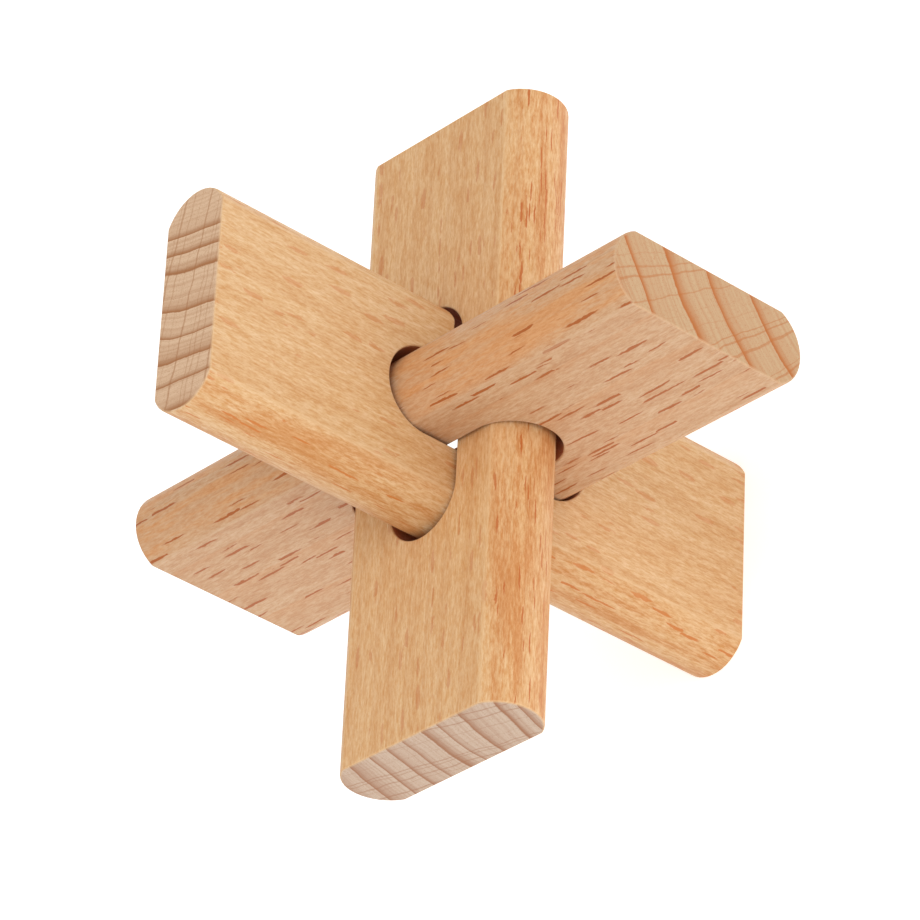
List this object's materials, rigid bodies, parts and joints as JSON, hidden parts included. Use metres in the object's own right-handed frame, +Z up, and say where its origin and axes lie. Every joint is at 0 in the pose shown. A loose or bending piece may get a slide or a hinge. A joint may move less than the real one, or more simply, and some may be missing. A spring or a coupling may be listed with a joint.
{
  "type": "three-board burr puzzle",
  "caption": "Interlocking wooden burr puzzle of equal flat boards with bowed edges, each passing through a round-ended window in the next.",
  "frame": {"origin": "centre of the whole object's footprint, on the plane that the upright board stands on", "axes": "+Z up along the upright board, +X along the key board, +Y along the cross board"},
  "size_m": [0.07, 0.07, 0.07],
  "materials": {
    "upright_beech": "satin",
    "key_beech": "satin",
    "cross_beech": "satin"
  },
  "bodies": {
    "upright": {"upright_board": "upright_beech"},
    "key": {"key_board": "key_beech"},
    "cross": {"cross_board": "cross_beech"}
  },
  "joints": [
    {"name": "key_slide", "type": "slide", "parent": "upright", "child": "key", "axis": [1, 0, 0], "range_m": [-0.00025, 0.01465]},
    {"name": "cross_play", "type": "slide", "parent": "upright", "child": "cross", "axis": [0, 1, 0], "range_m": [-0.00025, 0.00025]}
  ]
}
